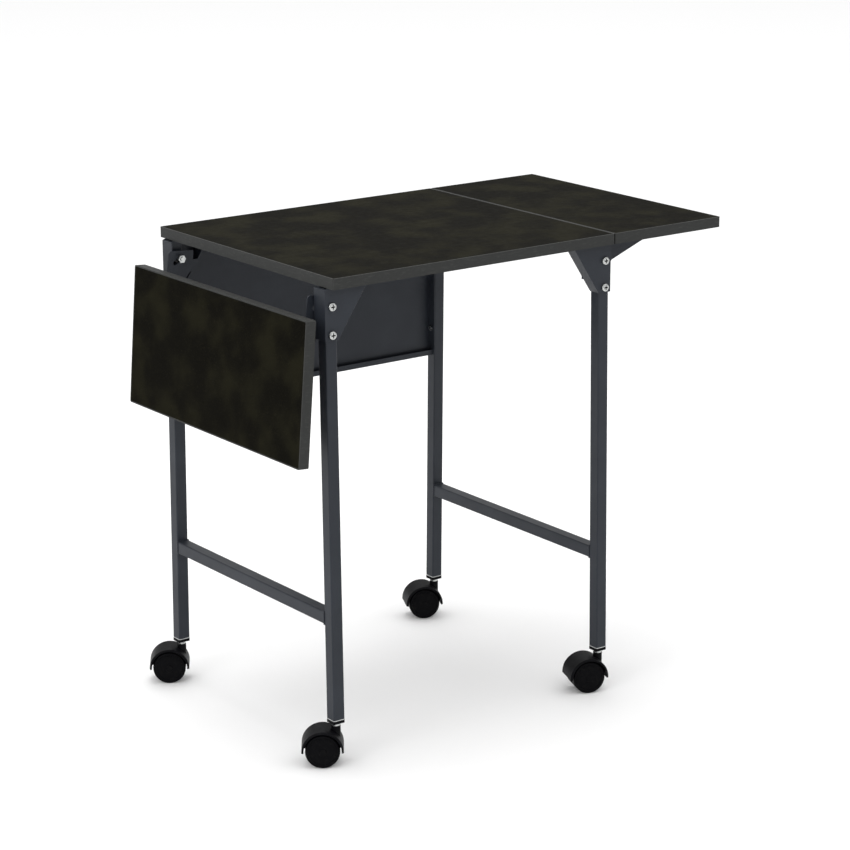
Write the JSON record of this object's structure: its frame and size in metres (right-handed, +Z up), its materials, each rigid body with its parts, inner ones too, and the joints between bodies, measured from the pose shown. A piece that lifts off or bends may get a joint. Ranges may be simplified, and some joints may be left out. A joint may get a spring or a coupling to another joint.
{
  "type": "mobile machine stand with drop leaves",
  "caption": "Small rolling stand with a rectangular laminate top, a drop leaf at each end, square-tube legs, a sheet-metal back panel and twin-wheel casters.",
  "frame": {"origin": "on the floor, under the centre of the fixed top", "axes": "+Z up, +X towards the raised leaf, +Y towards the back panel"},
  "size_m": [0.7809, 0.4926, 0.7224],
  "materials": {
    "laminate": "near-black decorative laminate with a faint mottle",
    "edge_band": "dark grey plastic edge band",
    "board": "raw particle board",
    "frame_paint": "satin charcoal powder coat on steel",
    "zinc": "bright zinc plate",
    "black_plastic": "moulded black plastic",
    "wheel_plastic": "smooth black wheel plastic",
    "nylon": "black nylon"
  },
  "bodies": {
    "stand": {"top_board": "board", "top_laminate": "laminate", "top_edge_band": "edge_band", "leg_front_left": "frame_paint", "leg_rear_left": "frame_paint", "leg_front_right": "frame_paint", "leg_rear_right": "frame_paint", "crossbar_left": "frame_paint", "crossbar_right": "frame_paint", "bracket_front_left": "frame_paint", "bracket_rear_left": "frame_paint", "bracket_front_right": "frame_paint", "bracket_rear_right": "frame_paint", "back_panel": "frame_paint", "pivot_bolts": "zinc", "bracket_bolts": "zinc", "pivot_nuts": "zinc", "bracket_screws": "zinc", "panel_screws": "zinc", "rivet_nuts": "zinc", "pivot_spacers": "nylon", "foot_sockets": "black_plastic", "foot_ferrules": "zinc"},
    "left_hinge": {"pivot_washers_left": "nylon"},
    "left_leaf": {"leaf_board_left": "board", "leaf_laminate_left": "laminate", "leaf_edge_band_left": "edge_band", "leaf_arm_front_left": "frame_paint", "leaf_arm_rear_left": "frame_paint", "arm_screws_left": "zinc"},
    "right_hinge": {"pivot_washers_right": "nylon"},
    "right_leaf": {"leaf_board_right": "board", "leaf_laminate_right": "laminate", "leaf_edge_band_right": "edge_band", "leaf_arm_front_right": "frame_paint", "leaf_arm_rear_right": "frame_paint", "arm_screws_right": "zinc"},
    "caster_front_left": {"caster_hood_front_left": "black_plastic", "caster_stem_front_left": "zinc", "caster_axle_front_left": "zinc"},
    "wheel_front_left_a": {"wheel_front_left_a": "wheel_plastic"},
    "wheel_front_left_b": {"wheel_front_left_b": "wheel_plastic"},
    "caster_rear_left": {"caster_hood_rear_left": "black_plastic", "caster_stem_rear_left": "zinc", "caster_axle_rear_left": "zinc"},
    "wheel_rear_left_a": {"wheel_rear_left_a": "wheel_plastic"},
    "wheel_rear_left_b": {"wheel_rear_left_b": "wheel_plastic"},
    "caster_front_right": {"caster_hood_front_right": "black_plastic", "caster_stem_front_right": "zinc", "caster_axle_front_right": "zinc"},
    "wheel_front_right_a": {"wheel_front_right_a": "wheel_plastic"},
    "wheel_front_right_b": {"wheel_front_right_b": "wheel_plastic"},
    "caster_rear_right": {"caster_hood_rear_right": "black_plastic", "caster_stem_rear_right": "zinc", "caster_axle_rear_right": "zinc"},
    "wheel_rear_right_a": {"wheel_rear_right_a": "wheel_plastic"},
    "wheel_rear_right_b": {"wheel_rear_right_b": "wheel_plastic"}
  },
  "joints": [
    {"name": "left_leaf_fold", "type": "hinge", "parent": "stand", "child": "left_hinge", "pos_m": [-0.2473, 0, 0.68], "axis": [0, 1, 0], "range_deg": [0, 85.6]},
    {"name": "left_leaf_lift", "type": "slide", "parent": "left_hinge", "child": "left_leaf", "axis": [0.8305, 0, 0.557], "range_m": [0, 0.01082]},
    {"name": "right_leaf_fold", "type": "hinge", "parent": "stand", "child": "right_hinge", "pos_m": [0.2473, 0, 0.68], "axis": [0, 1, 0], "range_deg": [0, 85.6]},
    {"name": "right_leaf_lift", "type": "slide", "parent": "right_hinge", "child": "right_leaf", "axis": [0.619, 0, 0.7854], "range_m": [0, 0.01082]},
    {"name": "swivel_front_left", "type": "hinge", "parent": "stand", "child": "caster_front_left", "pos_m": [-0.2473, -0.2115, 0.07], "axis": [0, 0, 1], "continuous": true},
    {"name": "roll_front_left_a", "type": "hinge", "parent": "caster_front_left", "child": "wheel_front_left_a", "pos_m": [-0.26327, -0.20031, 0.0254], "axis": [0.5736, 0.8192, 0], "continuous": true},
    {"name": "roll_front_left_b", "type": "hinge", "parent": "caster_front_left", "child": "wheel_front_left_b", "pos_m": [-0.26327, -0.20031, 0.0254], "axis": [0.5736, 0.8192, 0], "continuous": true},
    {"name": "swivel_rear_left", "type": "hinge", "parent": "stand", "child": "caster_rear_left", "pos_m": [-0.2473, 0.2115, 0.07], "axis": [0, 0, 1], "continuous": true},
    {"name": "roll_rear_left_a", "type": "hinge", "parent": "caster_rear_left", "child": "wheel_rear_left_a", "pos_m": [-0.26365, 0.22212, 0.0254], "axis": [0.5446, 0.8387, 0], "continuous": true},
    {"name": "roll_rear_left_b", "type": "hinge", "parent": "caster_rear_left", "child": "wheel_rear_left_b", "pos_m": [-0.26365, 0.22212, 0.0254], "axis": [0.5446, 0.8387, 0], "continuous": true},
    {"name": "swivel_front_right", "type": "hinge", "parent": "stand", "child": "caster_front_right", "pos_m": [0.2473, -0.2115, 0.07], "axis": [0, 0, 1], "continuous": true},
    {"name": "roll_front_right_a", "type": "hinge", "parent": "caster_front_right", "child": "wheel_front_right_a", "pos_m": [0.22909, -0.20451, 0.0254], "axis": [0.3584, 0.9336, 0], "continuous": true},
    {"name": "roll_front_right_b", "type": "hinge", "parent": "caster_front_right", "child": "wheel_front_right_b", "pos_m": [0.22909, -0.20451, 0.0254], "axis": [0.3584, 0.9336, 0], "continuous": true},
    {"name": "swivel_rear_right", "type": "hinge", "parent": "stand", "child": "caster_rear_right", "pos_m": [0.2473, 0.2115, 0.07], "axis": [0, 0, 1], "continuous": true},
    {"name": "roll_rear_right_a", "type": "hinge", "parent": "caster_rear_right", "child": "wheel_rear_right_a", "pos_m": [0.22977, 0.22005, 0.0254], "axis": [0.4384, 0.8988, 0], "continuous": true},
    {"name": "roll_rear_right_b", "type": "hinge", "parent": "caster_rear_right", "child": "wheel_rear_right_b", "pos_m": [0.22977, 0.22005, 0.0254], "axis": [0.4384, 0.8988, 0], "continuous": true}
  ]
}
